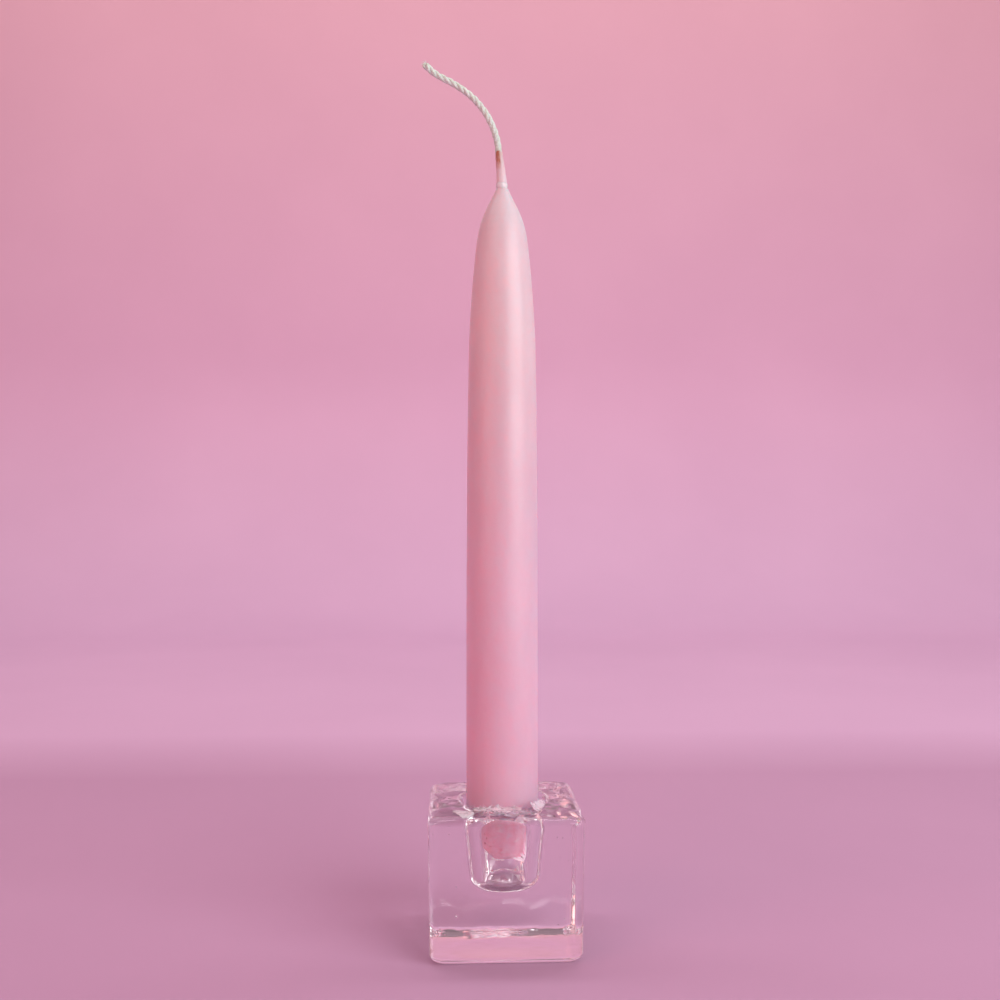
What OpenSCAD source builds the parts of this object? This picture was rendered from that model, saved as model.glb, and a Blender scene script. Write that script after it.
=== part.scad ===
// Dipped taper candle with a long twisted wick, standing in a cube-shaped pressed-glass holder.
// Millimetres, +Z up. The origin is the centre of the holder's base, on the table.

/* [Holder] */
// Width of the glass block across its sides at the top
block_w = 45.8; // [44:0.2:52]
// Height of the glass block
block_h = 42.8; // [40:0.2:50]
// How much narrower the block is at its base than at its top
block_draft = 1; // [0:0.1:2]
// Radius of the block's four upright corners
block_corner_r = 3; // [1.5:0.5:5]
// Width of the soft roll round the block's top edge
roll_w = 4.2; // [2:0.2:5]
// Height of the same roll
roll_h = 2.2; // [0.8:0.1:3]
// Radius of the block's bottom edge
base_edge_r = 3; // [1.5:0.1:4.5]
// Depth of the shallow dish that leaves the base standing on a flat border
dish_depth = 0.6; // [0.2:0.1:1]

/* [Socket] */
// Diameter of the socket at its mouth
mouth_d = 26.4; // [25.4:0.1:27]
// Diameter of the socket's tapering wall where it reaches the floor
floor_d = 20.4; // [19.8:0.1:21]
// Depth of the socket
socket_depth = 24.8; // [22:0.1:26]
// Radius of the rounded lip round the mouth
lip_r = 1.2; // [0.6:0.1:1.8]
// Radius between the socket's wall and its floor
socket_corner_r = 4.5; // [2:0.5:5]

/* [Candle] */
// How far the candle stands from the socket's centre, to the right
candle_x = -0.4; // [-0.4:0.1:0.4]
// Diameter of the candle's straight lower part
candle_d = 22; // [21.6:0.1:22.2]
// Length of wax, from the cut foot to the neck below the wick
candle_len = 201.6; // [160:0.2:260]
// Height of the candle's foot above the table
foot_z = 28.3; // [28.3:0.1:30]
// Length of the domed shoulder from the slim upper body to the neck
shoulder_len = 46; // [36:1:60]
// Thickness of the outer dipped coat over the core
coat_t = 0.8; // [0.5:0.1:1.2]
// Length of the foot where the coat is shaved away
shaved_len = 12.5; // [8:0.5:13]
// Radius of the worn edge round the foot
foot_edge_r = 1.2; // [0.8:0.1:2.4]

/* [Wick] */
// Diameter of the twisted wick
wick_d = 2.1; // [1.6:0.1:2.4]
// Diameter of the pale ring of wax at the wick's root
bead_d = 3.6; // [3.2:0.1:4.2]
// Height of the ring of wax
bead_h = 2; // [1.4:0.1:2.4]
// Diameter of the wax sleeve at its lower end
sleeve_d = 3.2; // [2.8:0.1:3.6]

/* [Wax scraps] */
// Thickness of the thin wax shavings
scrap_t = 0.4; // [0.3:0.05:0.6]

/* [Hidden] */
$fn = 96;

glass_colour = [0.90, 0.93, 0.95, 0.45];
core_colour = [0.90, 0.55, 0.62];
coat_colour = [0.93, 0.68, 0.74];
wick_colour = [0.94, 0.93, 0.87];
sleeve_colour = [0.93, 0.80, 0.80];
pale_wax_colour = [0.96, 0.90, 0.91];

slice_t = 0.02;
arc_steps = 6;
curve_steps = 8;
hull_fn = 32;

socket_floor_z = block_h - socket_depth;
dish_rim_r = block_w / 2 - base_edge_r - 3;
dish_sphere_r = (dish_rim_r * dish_rim_r + dish_depth * dish_depth) / (2 * dish_depth);

candle_r = candle_d / 2;
wick_r = wick_d / 2;
neck_z = foot_z + candle_len;
neck_r = 1.8;
shoulder_z = neck_z - shoulder_len;
shoulder_r = 0.925 * candle_r;
dome_z = neck_z - 15.5;
dome_r = 0.7 * candle_r;
coat_foot_z = foot_z + shaved_len;
core_foot_r = candle_r - 0.2;

// The sleeve leans a little to the left of upright, and the free wick starts at its top
bead_top_z = neck_z + bead_h;
exit_x = -1.1;
exit_z = neck_z + 11.5;
lean = atan(exit_x / (exit_z - neck_z));
root_len = norm([exit_x, exit_z - neck_z]);
mitre_size = 20;
sleeve_gap = 0.2;

// Route of the free wick's centre line from the top of the sleeve: X, Y, height above the neck
TAIL_ROUTE = [
    [-1.1, 0.0, 11.5],
    [-1.3, 0.0, 13.4],
    [-1.7, 0.1, 15.5],
    [-2.4, 0.2, 17.8],
    [-3.3, 0.4, 20.1],
    [-4.4, 0.6, 22.3],
    [-5.8, 0.8, 24.5],
    [-7.3, 1.0, 26.4],
    [-9.1, 1.1, 28.3],
    [-11.1, 1.2, 30.0],
    [-13.3, 1.2, 31.5],
    [-15.6, 1.1, 32.8],
    [-18.0, 0.9, 33.9],
    [-20.3, 0.7, 35.1],
    [-22.3, 0.4, 36.6],
    [-24.0, 0.1, 38.4]
];
tail_sides = 8;

// Cubic curve from a to d, pulled towards b and c
function curve(a, b, c, d, n) = [
    for (i = [0 : n])
        let (t = i / n, s = 1 - t)
            s * s * s * a + 3 * s * s * t * b + 3 * s * t * t * c + t * t * t * d
];

// Outline of the candle's surface above the shaved foot, from low to high, less an inset
function body_outline(inset) = concat(
    [[candle_r - inset, coat_foot_z], [candle_r - inset, 73]],
    curve(
        [candle_r - inset, 73],
        [candle_r - inset, 120],
        [0.985 * candle_r - inset, shoulder_z - 30],
        [shoulder_r - inset, shoulder_z],
        curve_steps
    ),
    curve(
        [shoulder_r - inset, shoulder_z],
        [shoulder_r - 0.5 - inset, shoulder_z + 12],
        [dome_r + 1 - inset, dome_z - 8],
        [dome_r - inset, dome_z],
        curve_steps
    ),
    curve(
        [dome_r - inset, dome_z],
        [dome_r - 1.1 - inset, dome_z + 7.5],
        [neck_r + 1.8 - 0.5 * inset, neck_z - 4.2],
        [neck_r, neck_z],
        curve_steps
    )
);

function round_edge(x, z, r, from, to) = [
    for (i = [0 : arc_steps])
        let (a = from + (to - from) * i / arc_steps)
            [x + r * cos(a), z + r * sin(a)]
];

// Inset of the block's side from its full width at height z
function roll_inset(z) =
    z > block_h - roll_h
        ? roll_w * (1 - sqrt(max(0, 1 - pow((z - block_h + roll_h) / roll_h, 2))))
        : z < base_edge_r
            ? base_edge_r * (1 - sqrt(1 - pow((base_edge_r - z) / base_edge_r, 2)))
            : 0;
function block_half(z) = block_w / 2 - block_draft / 2 * (1 - z / block_h) - roll_inset(z);

// Heights of the block's slices: quarter-round steps at the base and at the top roll
BLOCK_LEVELS = concat(
    [for (i = [0 : arc_steps]) base_edge_r * (1 - cos(90 * i / arc_steps))],
    [for (i = [0 : arc_steps]) block_h - roll_h + roll_h * sin(90 * i / arc_steps)]
);

// Moves a piece from the socket's centre line to the candle's own
module at_candle() {
    translate([candle_x, 0, 0])
        children();
}

module glass_block() {
    hull()
        for (z = BLOCK_LEVELS)
            for (x = [-1, 1])
                for (y = [-1, 1])
                    translate([
                        x * (block_half(z) - block_corner_r),
                        y * (block_half(z) - block_corner_r),
                        min(z, block_h - slice_t)
                    ])
                        cylinder(r = block_corner_r, h = slice_t, $fn = hull_fn);
}

module socket_space() {
    wall_slope = (mouth_d - floor_d) / 2 / socket_depth;
    low_z = socket_floor_z + socket_corner_r;
    low_r = floor_d / 2 + wall_slope * socket_corner_r;
    high_z = block_h - lip_r;
    high_r = mouth_d / 2 - wall_slope * lip_r;
    rotate_extrude()
        polygon(concat(
            [[0, socket_floor_z]],
            round_edge(low_r - socket_corner_r, low_z, socket_corner_r, -90, 0),
            [for (i = [0 : arc_steps])
                let (a = 90 * i / arc_steps)
                    [high_r + lip_r * (1 - cos(a)), high_z + lip_r * sin(a)]],
            [[high_r + lip_r, block_h + 1], [0, block_h + 1]]
        ));
}

module glass_holder() {
    color(glass_colour)
        difference() {
            glass_block();
            socket_space();
            translate([0, 0, dish_depth - dish_sphere_r])
                sphere(r = dish_sphere_r);
        }
}

// Half of all space above (side = 0) or below (side = -1) the mitre where the wick bends
module mitre_half(side) {
    translate([0, 0, neck_z])
        rotate([0, lean / 2, 0])
            translate([-mitre_size / 2, -mitre_size / 2, side * mitre_size])
                cube(mitre_size);
}

// Straight stretch of the wick inside the wax and its leaning stretch inside the sleeve
module wick_root() {
    union() {
        difference() {
            translate([0, 0, foot_z])
                cylinder(r = wick_r, h = candle_len + 1);
            mitre_half(0);
        }
        difference() {
            translate([0, 0, neck_z])
                rotate([0, lean, 0])
                    translate([0, 0, -1])
                        cylinder(r = wick_r, h = root_len + 1);
            mitre_half(-1);
        }
    }
}

module wax_core() {
    color(core_colour)
        at_candle()
            difference() {
                rotate_extrude()
                    polygon(concat(
                        [[0, foot_z]],
                        round_edge(core_foot_r - foot_edge_r, foot_z + foot_edge_r, foot_edge_r, -90, 0),
                        [[core_foot_r, coat_foot_z]],
                        body_outline(coat_t),
                        [[0, neck_z]]
                    ));
                translate([0, 0, foot_z - 1])
                    cylinder(r = wick_r, h = candle_len + 2);
            }
}

module wax_coat() {
    color(coat_colour)
        at_candle()
            difference() {
                rotate_extrude()
                    polygon(concat([[0, coat_foot_z]], body_outline(0), [[0, neck_z]]));
                rotate_extrude()
                    polygon(concat([[0, coat_foot_z - 1], [candle_r - coat_t, coat_foot_z - 1]],
                        body_outline(coat_t), [[0, neck_z]]));
                translate([0, 0, foot_z])
                    cylinder(r = wick_r, h = candle_len + 1);
            }
}

module wick_core() {
    color(wick_colour)
        at_candle()
            wick_root();
}

module neck_bead() {
    color(pale_wax_colour)
        at_candle()
            translate([0, 0, neck_z])
                difference() {
                    rotate_extrude()
                        polygon(concat(
                            [[0, 0]],
                            [for (i = [0 : arc_steps])
                                let (a = -60 + 120 * i / arc_steps)
                                    [bead_d / 2 - 0.5 + 0.5 * cos(a),
                                        bead_h / 2 * (1 + sin(a) / sin(60))]],
                            [[0, bead_h]]
                        ));
                    rotate([0, lean, 0])
                        translate([0, 0, -1])
                            cylinder(r = wick_r, h = bead_h + 2);
                }
}

module wick_sleeve() {
    color(sleeve_colour)
        at_candle()
            translate([0, 0, neck_z])
                rotate([0, lean, 0])
                    difference() {
                        translate([0, 0, bead_h + sleeve_gap])
                            cylinder(
                                r1 = sleeve_d / 2,
                                r2 = wick_r + 0.15,
                                h = root_len - bead_h - 2 * sleeve_gap
                            );
                        cylinder(r = wick_r, h = root_len);
                    }
}

// Tube along a route: each ring is square to the direction of travel
module swept_tube(route, r, sides) {
    last = len(route) - 1;
    rings = [
        for (i = [0 : last])
            let (
                ahead = route[min(i + 1, last)] - route[max(i - 1, 0)],
                dir = ahead / norm(ahead),
                across = cross([0, 1, 0], dir),
                u = across / norm(across),
                v = cross(dir, u)
            )
                for (k = [0 : sides - 1])
                    let (a = 360 * k / sides)
                        route[i] + r * (cos(a) * u + sin(a) * v)
    ];
    sides_of_tube = [
        for (i = [0 : last - 1])
            for (k = [0 : sides - 1])
                let (n = (k + 1) % sides)
                    [i * sides + k, (i + 1) * sides + k, (i + 1) * sides + n, i * sides + n]
    ];
    ends = [
        [for (k = [0 : sides - 1]) k],
        [for (k = [sides - 1 : -1 : 0]) last * sides + k]
    ];
    polyhedron(points = rings, faces = concat(sides_of_tube, ends), convexity = 4);
}

module wick_tail() {
    color(wick_colour)
        at_candle()
            translate([0, 0, neck_z])
                swept_tube(TAIL_ROUTE, wick_r, tail_sides);
}

// Smear of thin wax that hangs over the block's top edge in front of the mouth, on the left
module rim_film_left() {
    color(pale_wax_colour)
        translate([-12.4, -17, block_h + 0.02])
            linear_extrude(scrap_t)
                polygon([
                    [-3.2, 2.2], [-1.2, 2.9], [1.6, 1.8], [2.9, 0.2], [3.0, -2.0],
                    [1.6, -4.0], [-0.4, -4.2], [-1.8, -1.6], [-3.0, 0.6]
                ]);
}

// Rounded lump of clear wax beside the film
module rim_lump_left() {
    color(pale_wax_colour)
        translate([-7.8, -16.2, block_h + 0.9])
            rotate([0, 0, -12])
                hull() {
                    translate([-1.2, 0, 0])
                        sphere(r = 0.85, $fn = 24);
                    translate([1.2, 0, -0.1])
                        sphere(r = 0.75, $fn = 24);
                }
}

// One upright curled shaving that follows the candle's foot in the gap of the mouth
module rim_curl(from, sweep, low, tall) {
    rotate([0, 0, from])
        translate([0, 0, block_h + low])
            rotate_extrude(angle = sweep)
                translate([candle_r + 1.2, 0])
                    square([scrap_t, tall]);
}

module rim_curls_front() {
    color(pale_wax_colour)
        at_candle() {
            rim_curl(243, 10, -0.6, 2.0);
            rim_curl(255, 12, -0.5, 2.6);
            rim_curl(269, 9, -0.4, 2.2);
            rim_curl(280, 9, -0.6, 1.7);
        }
}

// Long ragged flake that lies along the lip to the right of the candle, its inner edge raised
module rim_flake_right() {
    color(pale_wax_colour)
        translate([10.2, -11.8, block_h + 0.62])
            rotate([0, 0, 68])
                rotate([22, 0, 0])
                    linear_extrude(scrap_t)
                        polygon([
                            [-5.8, -0.9], [-3.6, -1.5], [-1.0, -1.2], [2.2, -0.9], [4.4, -0.5], [5.8, 0.1],
                            [4.4, 0.5], [2.8, 0.6], [1.2, 1.2], [-1.0, 1.0], [-2.6, 1.7], [-4.6, 1.5]
                        ]);
}

// Fan of white slivers curled off the foot's edge, low on its right side
module foot_shaving() {
    color(pale_wax_colour)
        at_candle()
            for (i = [0 : 3])
                rotate([0, 0, -72 + 10 * i])
                    translate([core_foot_r - foot_edge_r - 0.4, 0, foot_z - 0.02])
                        rotate([0, 20, 0])
                            translate([-0.8, -0.5, -scrap_t - 0.3])
                                cube([2.8, 1, scrap_t]);
}

// Small crumbs of wax that hang under the foot's edge, on its left side
module foot_crumbs() {
    color(pale_wax_colour)
        at_candle()
            for (i = [0 : 3])
                rotate([0, 0, 244 + 7 * i])
                    translate([9.2 - 0.2 * i, 0, foot_z - 0.42])
                        sphere(r = 0.4, $fn = 16);
}

glass_holder();
wax_core();
wax_coat();
wick_core();
wick_tail();
wick_sleeve();
neck_bead();
rim_film_left();
rim_lump_left();
rim_curls_front();
rim_flake_right();
foot_shaving();
foot_crumbs();
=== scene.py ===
"""Looks of a hand-dipped taper candle in a cube-shaped pressed-glass holder.

Everything is in metres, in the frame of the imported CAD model. Lengths below are written in
millimetres and turned into metres with MM.
"""
import math
import random

import bpy
import numpy as np
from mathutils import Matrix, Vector, noise


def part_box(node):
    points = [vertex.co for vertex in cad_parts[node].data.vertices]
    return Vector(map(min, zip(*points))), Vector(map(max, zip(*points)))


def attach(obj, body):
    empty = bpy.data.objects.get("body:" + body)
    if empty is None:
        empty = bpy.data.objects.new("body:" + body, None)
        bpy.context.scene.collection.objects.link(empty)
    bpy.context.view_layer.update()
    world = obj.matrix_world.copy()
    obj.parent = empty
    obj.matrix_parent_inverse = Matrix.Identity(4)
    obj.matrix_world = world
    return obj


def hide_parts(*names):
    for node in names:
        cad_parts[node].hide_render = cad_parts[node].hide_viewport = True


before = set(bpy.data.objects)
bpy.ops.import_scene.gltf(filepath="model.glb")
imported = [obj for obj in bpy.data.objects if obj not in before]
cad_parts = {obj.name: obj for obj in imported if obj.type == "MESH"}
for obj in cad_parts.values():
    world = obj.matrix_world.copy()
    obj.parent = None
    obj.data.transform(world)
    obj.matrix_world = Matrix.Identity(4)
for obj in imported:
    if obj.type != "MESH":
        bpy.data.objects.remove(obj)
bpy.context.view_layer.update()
MM = 0.001
TAU = 2 * math.pi

# Driving places, read from the frame
HOLDER_LOW, HOLDER_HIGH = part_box("glass_holder")
COAT_LOW, COAT_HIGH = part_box("wax_coat")
CORE_LOW, CORE_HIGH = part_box("wax_core")
SLEEVE_LOW, SLEEVE_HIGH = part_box("wick_sleeve")
BEAD_LOW, BEAD_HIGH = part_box("neck_bead")
TOP_Z = HOLDER_HIGH.z
FOOT_Z = CORE_LOW.z
COAT_FOOT_Z = COAT_LOW.z
NECK_Z = COAT_HIGH.z
AXIS_X = (COAT_HIGH.x + COAT_LOW.x) / 2
CANDLE_R = (COAT_HIGH.x - COAT_LOW.x) / 2
FOOT_R = (CORE_HIGH.x - CORE_LOW.x) / 2

# Radius over the wick's plies, the same as the CAD part's
WICK_R = 1.05 * MM


# ---------------------------------------------------------------- helpers: shapes

def grain(point, size, seed=0.0):
    """Smooth noise from -1 to 1 with lumps of the given size, in metres."""
    return noise.noise(Vector(point) / size + Vector((seed, 1.7 * seed, -2.3 * seed)))


def smooth_line(x, xs, ys):
    """Value at x of a smooth curve through (xs, ys): cubic pieces with matching slopes."""
    xs, ys = np.asarray(xs, float), np.asarray(ys, float)
    slopes = np.gradient(ys, xs)
    i = np.clip(np.searchsorted(xs, x) - 1, 0, len(xs) - 2)
    step = xs[i + 1] - xs[i]
    t = np.clip((x - xs[i]) / step, 0, 1)
    a, b = 2 * t**3 - 3 * t**2 + 1, t**3 - 2 * t**2 + t
    c, d = -2 * t**3 + 3 * t**2, t**3 - t**2
    return a * ys[i] + b * step * slopes[i] + c * ys[i + 1] + d * step * slopes[i + 1]


def outer_profile(node):
    """Heights of a turned CAD node's rings and the widest radius at each, about the candle's axis."""
    co = np.array([v.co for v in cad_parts[node].data.vertices])
    order = np.argsort(co[:, 2])
    z, r = co[order, 2], np.hypot(co[order, 0] - AXIS_X, co[order, 1])
    groups = np.split(np.arange(len(z)), np.nonzero(np.diff(z) > 0.2 * MM)[0] + 1)
    levels, radii = np.array([z[g].mean() for g in groups]), np.array([r[g].max() for g in groups])
    beside = np.minimum(np.append(radii[1:], 0), np.insert(radii[:-1], 0, 0))
    outside = radii > beside - 0.3 * MM
    return levels[outside], radii[outside]


def new_piece(name, verts, faces, body, replaces=()):
    """A smooth-shaded object in the scene that rides on a body and may stand for CAD nodes."""
    mesh = bpy.data.meshes.new(name)
    mesh.from_pydata([tuple(v) for v in verts], [], faces)
    mesh.validate()
    mesh.polygons.foreach_set("use_smooth", [True] * len(mesh.polygons))
    piece = bpy.data.objects.new(name, mesh)
    bpy.context.scene.collection.objects.link(piece)
    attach(piece, body)
    if replaces:
        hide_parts(*replaces)
    return piece


def skin(rings, first="open", last="open", start=0):
    """Vertices and faces of a skin over equal rings, low to high and anticlockwise from above.

    An end is "open", or "cap" for a fan to the ring's middle; first="loop" joins the last ring
    back to the first, as on a ring-shaped solid."""
    rings = [np.asarray(ring, float) for ring in rings]
    n = len(rings[0])
    verts = [tuple(p) for ring in rings for p in ring]
    faces = []
    pairs = [(i, i + 1) for i in range(len(rings) - 1)]
    if first == "loop":
        pairs.append((len(rings) - 1, 0))
    for lo, hi in pairs:
        for k in range(n):
            m = (k + 1) % n
            faces.append((start + lo * n + k, start + lo * n + m, start + hi * n + m, start + hi * n + k))
    if first == "cap":
        verts.append(tuple(rings[0].mean(axis=0)))
        pole = start + len(verts) - 1
        faces += [(start + (k + 1) % n, start + k, pole) for k in range(n)]
    if last == "cap":
        verts.append(tuple(rings[-1].mean(axis=0)))
        pole = start + len(verts) - 1
        top = start + (len(rings) - 1) * n
        faces += [(top + k, top + (k + 1) % n, pole) for k in range(n)]
    return verts, faces


def circle(radius, z, n):
    a = TAU * np.arange(n) / n
    return np.column_stack([radius * np.cos(a), radius * np.sin(a), np.full(n, z)])


def at_candle(rings):
    """Rings built round the holder's axis, moved to the candle's."""
    return [np.asarray(ring) + (AXIS_X, 0, 0) for ring in rings]


def frames_along(path):
    """Tangent and two sideways directions at each point of a path, turning as little as possible."""
    path = np.asarray(path, float)
    tangents = np.gradient(path, axis=0)
    tangents /= np.linalg.norm(tangents, axis=1)[:, None]
    side = np.cross((0.0, 1.0, 0.0), tangents[0])
    side /= np.linalg.norm(side)
    sides = []
    for tangent in tangents:
        side = side - tangent * side.dot(tangent)
        side /= np.linalg.norm(side)
        sides.append(side.copy())
    sides = np.array(sides)
    return tangents, sides, np.cross(tangents, sides)


def lengths_along(path):
    steps = np.linalg.norm(np.diff(np.asarray(path, float), axis=0), axis=1)
    return np.concatenate([[0.0], np.cumsum(steps)])


def resample(route, step):
    """Points close together on a smooth curve through the route's points."""
    route = np.asarray(route, float)
    s = lengths_along(route)
    count = int(math.ceil(s[-1] / step))
    at = np.linspace(0, s[-1], count + 1)
    return np.array([[smooth_line(t, s, route[:, i]) for i in range(3)] for t in at])


# ---------------------------------------------------------------- helpers: materials

class Shader:
    """A node material under construction."""

    def __init__(self, name):
        self.material = bpy.data.materials.new(name)
        self.material.use_nodes = True
        self.tree = self.material.node_tree
        self.tree.nodes.clear()
        self.output = self.add("ShaderNodeOutputMaterial")
        self.bsdf = self.add("ShaderNodeBsdfPrincipled")
        self.link(self.bsdf.outputs["BSDF"], self.output.inputs["Surface"])

    def add(self, kind, **values):
        node = self.tree.nodes.new(kind)
        for key, value in values.items():
            setattr(node, key, value)
        return node

    def link(self, output, socket):
        self.tree.links.new(output, socket)

    def set(self, **values):
        for key, value in values.items():
            self.bsdf.inputs[key.replace("_", " ")].default_value = value

    def position(self):
        return self.add("ShaderNodeTexCoord").outputs["Object"]

    def noise(self, scale, detail, roughness, stretch=None):
        source = self.position()
        if stretch:
            mapping = self.add("ShaderNodeMapping")
            mapping.inputs["Scale"].default_value = stretch
            self.link(source, mapping.inputs["Vector"])
            source = mapping.outputs["Vector"]
        node = self.add("ShaderNodeTexNoise")
        node.inputs["Scale"].default_value = scale
        node.inputs["Detail"].default_value = detail
        node.inputs["Roughness"].default_value = roughness
        self.link(source, node.inputs["Vector"])
        return node.outputs["Fac"]

    def ramp(self, value, stops):
        node = self.add("ShaderNodeValToRGB")
        ramp = node.color_ramp
        while len(ramp.elements) < len(stops):
            ramp.elements.new(0.5)
        for element, (at, colour) in zip(ramp.elements, stops):
            element.position = at
            element.color = (*colour, 1.0)
        self.link(value, node.inputs["Fac"])
        return node.outputs["Color"]

    def span(self, value, low, high, to_low=0.0, to_high=1.0):
        node = self.add("ShaderNodeMapRange")
        for key, number in zip(("From Min", "From Max", "To Min", "To Max"), (low, high, to_low, to_high)):
            node.inputs[key].default_value = number
        self.link(value, node.inputs["Value"])
        return node.outputs["Result"]

    def mix(self, factor, a, b, blend="MIX"):
        node = self.add("ShaderNodeMix", data_type="RGBA", blend_type=blend)
        for socket, value in ((node.inputs[0], factor), (node.inputs[6], a), (node.inputs[7], b)):
            if hasattr(value, "links"):
                self.link(value, socket)
            else:
                socket.default_value = value if isinstance(value, float) else (*value, 1.0)
        return node.outputs[2]

    def math(self, operation, a, b):
        node = self.add("ShaderNodeMath", operation=operation)
        for socket, value in zip(node.inputs, (a, b)):
            if hasattr(value, "links"):
                self.link(value, socket)
            else:
                socket.default_value = value
        return node.outputs[0]

    def axis(self, name):
        split = self.add("ShaderNodeSeparateXYZ")
        self.link(self.position(), split.inputs[0])
        return split.outputs[name]

    def bump(self, height, strength, distance):
        node = self.add("ShaderNodeBump")
        node.inputs["Strength"].default_value = strength
        node.inputs["Distance"].default_value = distance
        self.link(height, node.inputs["Height"])
        self.link(node.outputs["Normal"], self.bsdf.inputs["Normal"])


def paint(piece, material):
    piece.data.materials.clear()
    piece.data.materials.append(material)


# ---------------------------------------------------------------- camera

CAMERA_AT = (-15.5 * MM, -354.7 * MM, 137.7 * MM)
CAMERA_RIGHT_DEG = 2.33
CAMERA_DOWN_DEG = 0.5
LENS_MM = 41.58
SENSOR_MM = 36.0


def add_camera():
    data = bpy.data.cameras.new("camera")
    data.lens, data.sensor_width = LENS_MM, SENSOR_MM
    data.clip_start, data.clip_end = 0.01, 20.0
    camera = bpy.data.objects.new("camera", data)
    camera.location = CAMERA_AT
    camera.rotation_euler = (math.radians(90 - CAMERA_DOWN_DEG), 0, -math.radians(CAMERA_RIGHT_DEG))
    bpy.context.scene.collection.objects.link(camera)
    bpy.context.scene.camera = camera


add_camera()


# ---------------------------------------------------------------- wick: the free cord

# Route of the free wick's centre line: X, Y and height above the neck, in millimetres
TAIL_ROUTE = [
    (-1.1, 0.0, 11.5),
    (-1.3, 0.0, 13.4),
    (-1.7, 0.1, 15.5),
    (-2.4, 0.2, 17.8),
    (-3.3, 0.4, 20.1),
    (-4.4, 0.6, 22.3),
    (-5.8, 0.8, 24.5),
    (-7.3, 1.0, 26.4),
    (-9.1, 1.1, 28.3),
    (-11.1, 1.2, 30.0),
    (-13.3, 1.2, 31.5),
    (-15.6, 1.1, 32.8),
    (-18.0, 0.9, 33.9),
    (-20.3, 0.7, 35.1),
    (-22.3, 0.4, 36.6),
    (-24.0, 0.1, 38.4),
]
PLIES = 3
PLY_PITCH = 7.2 * MM
PLY_SIDES = 28
RING_STEP = 0.16 * MM
STRAY_HAIRS = 150
BRUSH_HAIRS = 46


def wick_route():
    return [Vector((AXIS_X + x * MM, y * MM, NECK_Z + z * MM)) for x, y, z in TAIL_ROUTE]


def ply_rings(path, index):
    """One ply of the twisted wick: its rings follow a helix round the wick's centre line."""
    s = lengths_along(path)
    total = s[-1]
    _, sides, ups = frames_along(path)
    left = total - s
    fray = np.clip(1 - left / (3.4 * MM), 0, 1)
    waxed = np.clip(1.15 - s / (26 * MM), 0, 1)
    helix_r = 0.50 * MM + 0.26 * MM * fray**1.5 - 0.22 * MM * waxed
    ply_r = 0.55 * MM + 0.22 * MM * waxed + 0.06 * MM * fray
    turn = TAU * (s / PLY_PITCH + index / PLIES) + 0.6 + 0.5 * fray
    centre = path + helix_r[:, None] * (np.cos(turn)[:, None] * sides + np.sin(turn)[:, None] * ups)
    for i, point in enumerate(centre):
        wander = 0.05 * MM
        centre[i] = point + wander * np.array([grain(point, 1.6 * MM, 3 + index + j) for j in range(3)])
    cut = total - (0.15 + 0.35 * index) * MM
    keep = s <= cut
    centre, s_kept = centre[keep], s[keep]
    _, u, v = frames_along(centre)
    rings = []
    for i, point in enumerate(centre):
        a = TAU * np.arange(PLY_SIDES) / PLY_SIDES
        ridge = 0.5 + 0.5 * np.cos(9 * (a - TAU * s_kept[i] / (2.6 * MM)))
        r = ply_r[keep][i] * (0.92 + 0.08 * ridge)
        end = min((s_kept[-1] - s_kept[i]) / (0.35 * MM), 1.0)
        r = r * (0.55 + 0.45 * math.sqrt(max(1 - (1 - end) ** 2, 0)))
        ring = point + r[:, None] * (np.cos(a)[:, None] * u[i] + np.sin(a)[:, None] * v[i])
        for k, p in enumerate(ring):
            ring[k] = p + (p - point) * (0.13 * grain(p, 0.55 * MM, 20) + 0.08 * grain(p, 0.25 * MM, 24))
        rings.append(ring)
    return rings


def add_wick_tail():
    """The free wick, and its centre line."""
    path = resample(wick_route(), RING_STEP)
    verts, faces = [], []
    for index in range(PLIES):
        more, quads = skin(ply_rings(path, index), "cap", "cap", start=len(verts))
        verts += more
        faces += quads
    piece = new_piece("twisted_wick", verts, faces, "candle", ["wick_tail"])
    return piece, path


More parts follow.
